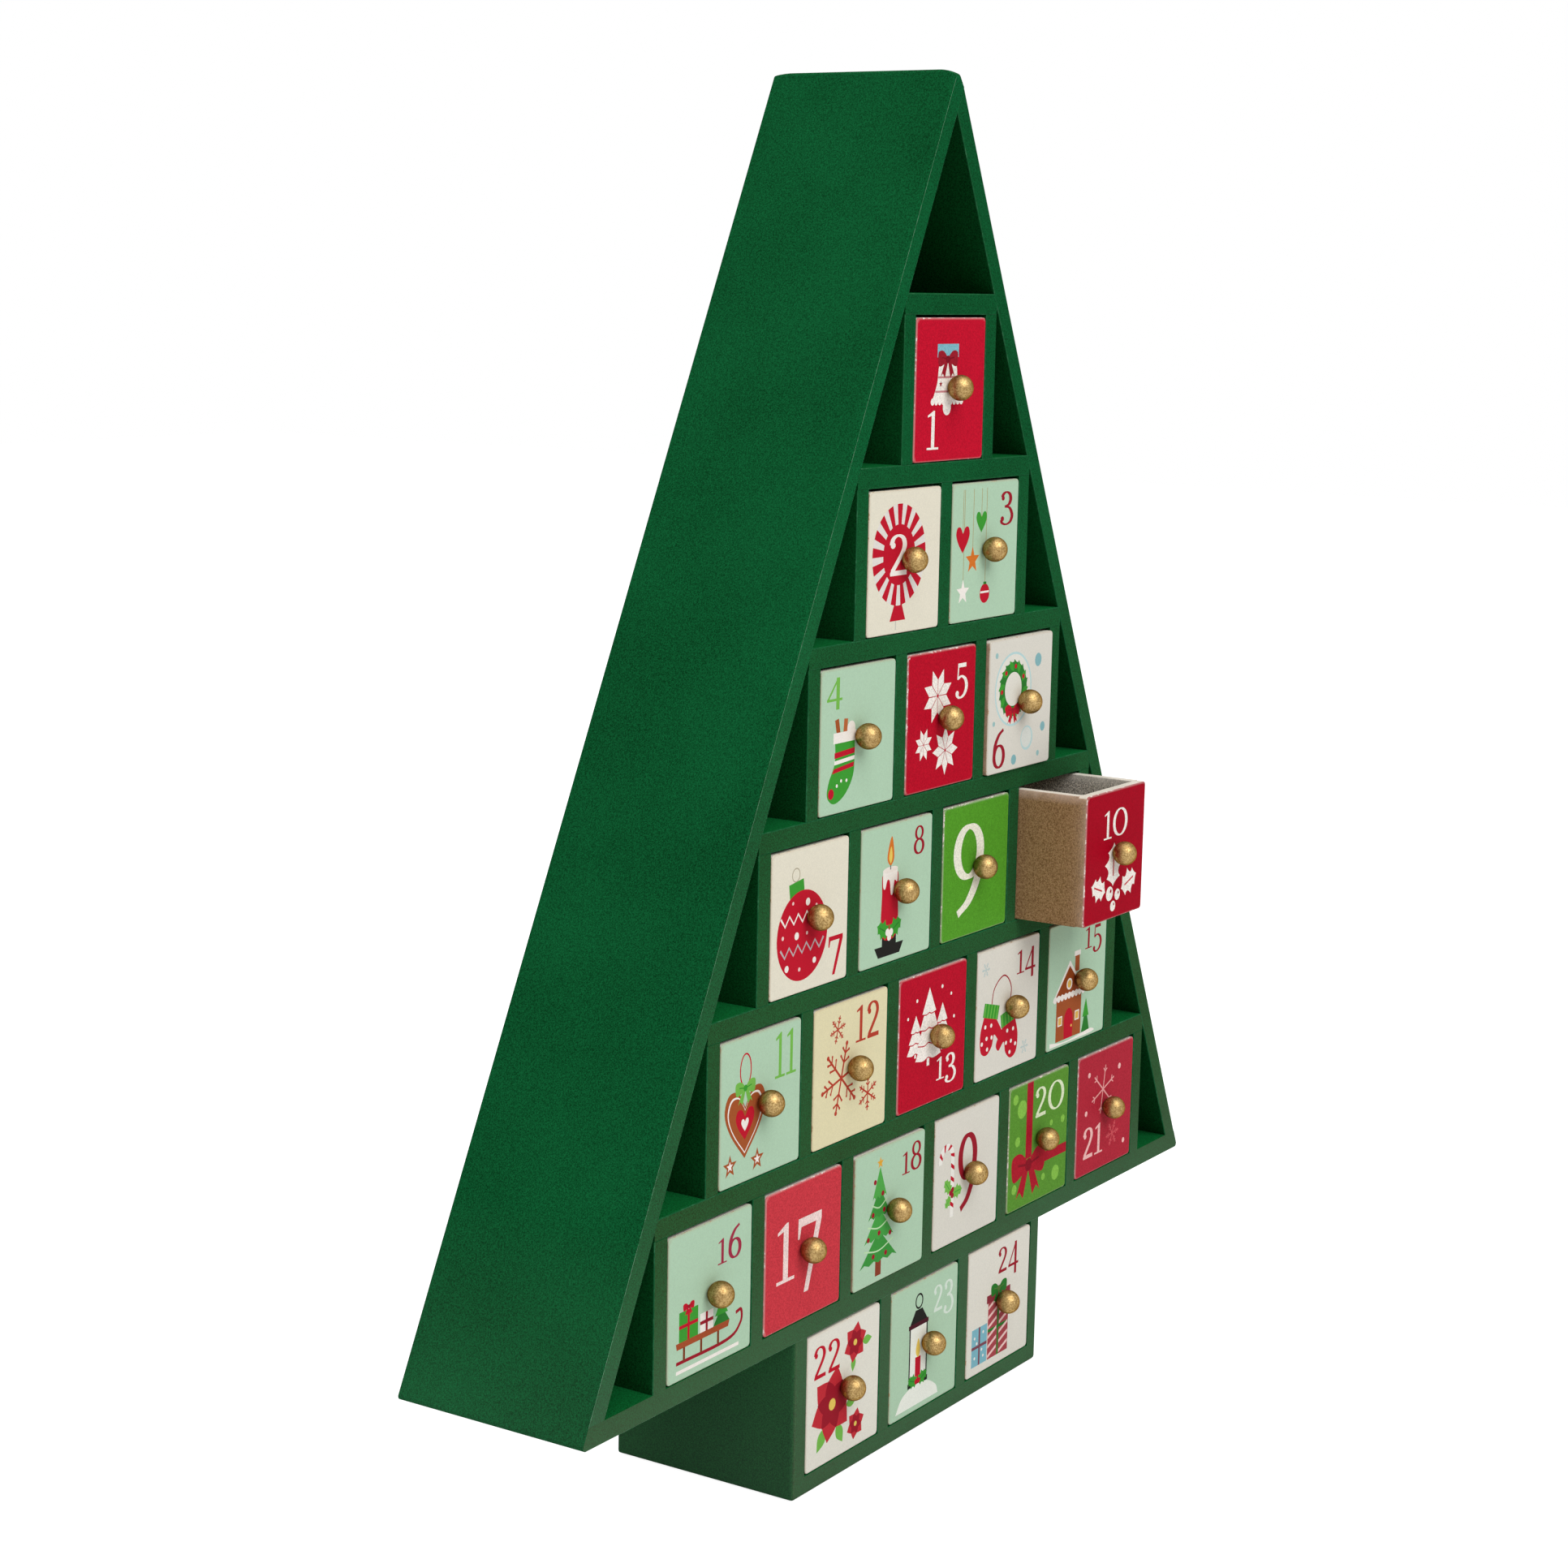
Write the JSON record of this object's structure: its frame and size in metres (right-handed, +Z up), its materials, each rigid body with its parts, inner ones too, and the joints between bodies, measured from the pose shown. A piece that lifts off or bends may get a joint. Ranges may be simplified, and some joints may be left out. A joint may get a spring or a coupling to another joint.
{
  "type": "advent calendar",
  "caption": "Free-standing tree-shaped advent calendar: rows of open-topped numbered drawers with ball knobs in a painted board case on a square trunk.",
  "frame": {"origin": "middle of the trunk's flat underside", "axes": "+Z up to the tip of the tree, -Y out of the front where the drawers open, +X to the right seen from the front"},
  "size_m": [0.3426, 0.0927, 0.4048],
  "materials": {
    "green_paint": "matt green paint on fibreboard",
    "back_panel": "matt dark green paint on thin fibreboard",
    "front_red": "matt red print on a fibreboard drawer",
    "front_dark_red": "matt dark red print on a fibreboard drawer",
    "front_cream": "matt cream print on a fibreboard drawer",
    "front_white": "matt white print on a fibreboard drawer",
    "front_mint": "matt mint print on a fibreboard drawer",
    "front_lime": "matt lime print on a fibreboard drawer",
    "front_yellow": "matt pale yellow print on a fibreboard drawer",
    "raw_fibreboard": "bare medium-density fibreboard of the drawers' boxes",
    "knob_brass": "aged gold-coloured metal"
  },
  "bodies": {
    "case": {"left_side_board": "green_paint", "right_side_board": "green_paint", "top_shelf": "green_paint", "row_1_frame": "green_paint", "row_2_frame": "green_paint", "row_3_frame": "green_paint", "row_4_frame": "green_paint", "row_5_frame": "green_paint", "base_board": "green_paint", "trunk_frame": "green_paint", "tree_back_panel": "back_panel", "trunk_back_panel": "back_panel"},
    "drawer_body_01": {"drawer_01": "front_red", "knob_01": "knob_brass"},
    "drawer_body_02": {"drawer_02": "front_cream", "knob_02": "knob_brass"},
    "drawer_body_03": {"drawer_03": "front_mint", "knob_03": "knob_brass"},
    "drawer_body_04": {"drawer_04": "front_mint", "knob_04": "knob_brass"},
    "drawer_body_05": {"drawer_05": "front_red", "knob_05": "knob_brass"},
    "drawer_body_06": {"drawer_06": "front_white", "knob_06": "knob_brass"},
    "drawer_body_07": {"drawer_07": "front_cream", "knob_07": "knob_brass"},
    "drawer_body_08": {"drawer_08": "front_mint", "knob_08": "knob_brass"},
    "drawer_body_09": {"drawer_09": "front_lime", "knob_09": "knob_brass"},
    "drawer_body_10": {"drawer_10": "front_red", "knob_10": "knob_brass"},
    "drawer_body_11": {"drawer_11": "front_mint", "knob_11": "knob_brass"},
    "drawer_body_12": {"drawer_12": "front_yellow", "knob_12": "knob_brass"},
    "drawer_body_13": {"drawer_13": "front_red", "knob_13": "knob_brass"},
    "drawer_body_14": {"drawer_14": "front_white", "knob_14": "knob_brass"},
    "drawer_body_15": {"drawer_15": "front_mint", "knob_15": "knob_brass"},
    "drawer_body_16": {"drawer_16": "front_mint", "knob_16": "knob_brass"},
    "drawer_body_17": {"drawer_17": "front_red", "knob_17": "knob_brass"},
    "drawer_body_18": {"drawer_18": "front_mint", "knob_18": "knob_brass"},
    "drawer_body_19": {"drawer_19": "front_white", "knob_19": "knob_brass"},
    "drawer_body_20": {"drawer_20": "front_lime", "knob_20": "knob_brass"},
    "drawer_body_21": {"drawer_21": "front_dark_red", "knob_21": "knob_brass"},
    "drawer_body_22": {"drawer_22": "front_white", "knob_22": "knob_brass"},
    "drawer_body_23": {"drawer_23": "front_mint", "knob_23": "knob_brass"},
    "drawer_body_24": {"drawer_24": "front_white", "knob_24": "knob_brass"}
  },
  "joints": [
    {"name": "drawer_01_slide", "type": "slide", "parent": "case", "child": "drawer_body_01", "axis": [0, -1, 0], "range_m": [0, 0.06]},
    {"name": "drawer_02_slide", "type": "slide", "parent": "case", "child": "drawer_body_02", "axis": [0, -1, 0], "range_m": [0, 0.06]},
    {"name": "drawer_03_slide", "type": "slide", "parent": "case", "child": "drawer_body_03", "axis": [0, -1, 0], "range_m": [0, 0.06]},
    {"name": "drawer_04_slide", "type": "slide", "parent": "case", "child": "drawer_body_04", "axis": [0, -1, 0], "range_m": [0, 0.06]},
    {"name": "drawer_05_slide", "type": "slide", "parent": "case", "child": "drawer_body_05", "axis": [0, -1, 0], "range_m": [0, 0.06]},
    {"name": "drawer_06_slide", "type": "slide", "parent": "case", "child": "drawer_body_06", "axis": [0, -1, 0], "range_m": [-0.001, 0.059]},
    {"name": "drawer_07_slide", "type": "slide", "parent": "case", "child": "drawer_body_07", "axis": [0, -1, 0], "range_m": [0, 0.06]},
    {"name": "drawer_08_slide", "type": "slide", "parent": "case", "child": "drawer_body_08", "axis": [0, -1, 0], "range_m": [0, 0.06]},
    {"name": "drawer_09_slide", "type": "slide", "parent": "case", "child": "drawer_body_09", "axis": [0, -1, 0], "range_m": [0, 0.06]},
    {"name": "drawer_10_slide", "type": "slide", "parent": "case", "child": "drawer_body_10", "axis": [0, -1, 0], "range_m": [-0.0235, 0.0365]},
    {"name": "drawer_11_slide", "type": "slide", "parent": "case", "child": "drawer_body_11", "axis": [0, -1, 0], "range_m": [0, 0.06]},
    {"name": "drawer_12_slide", "type": "slide", "parent": "case", "child": "drawer_body_12", "axis": [0, -1, 0], "range_m": [0, 0.06]},
    {"name": "drawer_13_slide", "type": "slide", "parent": "case", "child": "drawer_body_13", "axis": [0, -1, 0], "range_m": [0, 0.06]},
    {"name": "drawer_14_slide", "type": "slide", "parent": "case", "child": "drawer_body_14", "axis": [0, -1, 0], "range_m": [0, 0.06]},
    {"name": "drawer_15_slide", "type": "slide", "parent": "case", "child": "drawer_body_15", "axis": [0, -1, 0], "range_m": [0, 0.06]},
    {"name": "drawer_16_slide", "type": "slide", "parent": "case", "child": "drawer_body_16", "axis": [0, -1, 0], "range_m": [0, 0.06]},
    {"name": "drawer_17_slide", "type": "slide", "parent": "case", "child": "drawer_body_17", "axis": [0, -1, 0], "range_m": [0, 0.06]},
    {"name": "drawer_18_slide", "type": "slide", "parent": "case", "child": "drawer_body_18", "axis": [0, -1, 0], "range_m": [-0.0004, 0.0596]},
    {"name": "drawer_19_slide", "type": "slide", "parent": "case", "child": "drawer_body_19", "axis": [0, -1, 0], "range_m": [0, 0.06]},
    {"name": "drawer_20_slide", "type": "slide", "parent": "case", "child": "drawer_body_20", "axis": [0, -1, 0], "range_m": [0, 0.06]},
    {"name": "drawer_21_slide", "type": "slide", "parent": "case", "child": "drawer_body_21", "axis": [0, -1, 0], "range_m": [0, 0.06]},
    {"name": "drawer_22_slide", "type": "slide", "parent": "case", "child": "drawer_body_22", "axis": [0, -1, 0], "range_m": [0, 0.06]},
    {"name": "drawer_23_slide", "type": "slide", "parent": "case", "child": "drawer_body_23", "axis": [0, -1, 0], "range_m": [0, 0.06]},
    {"name": "drawer_24_slide", "type": "slide", "parent": "case", "child": "drawer_body_24", "axis": [0, -1, 0], "range_m": [0, 0.06]}
  ]
}
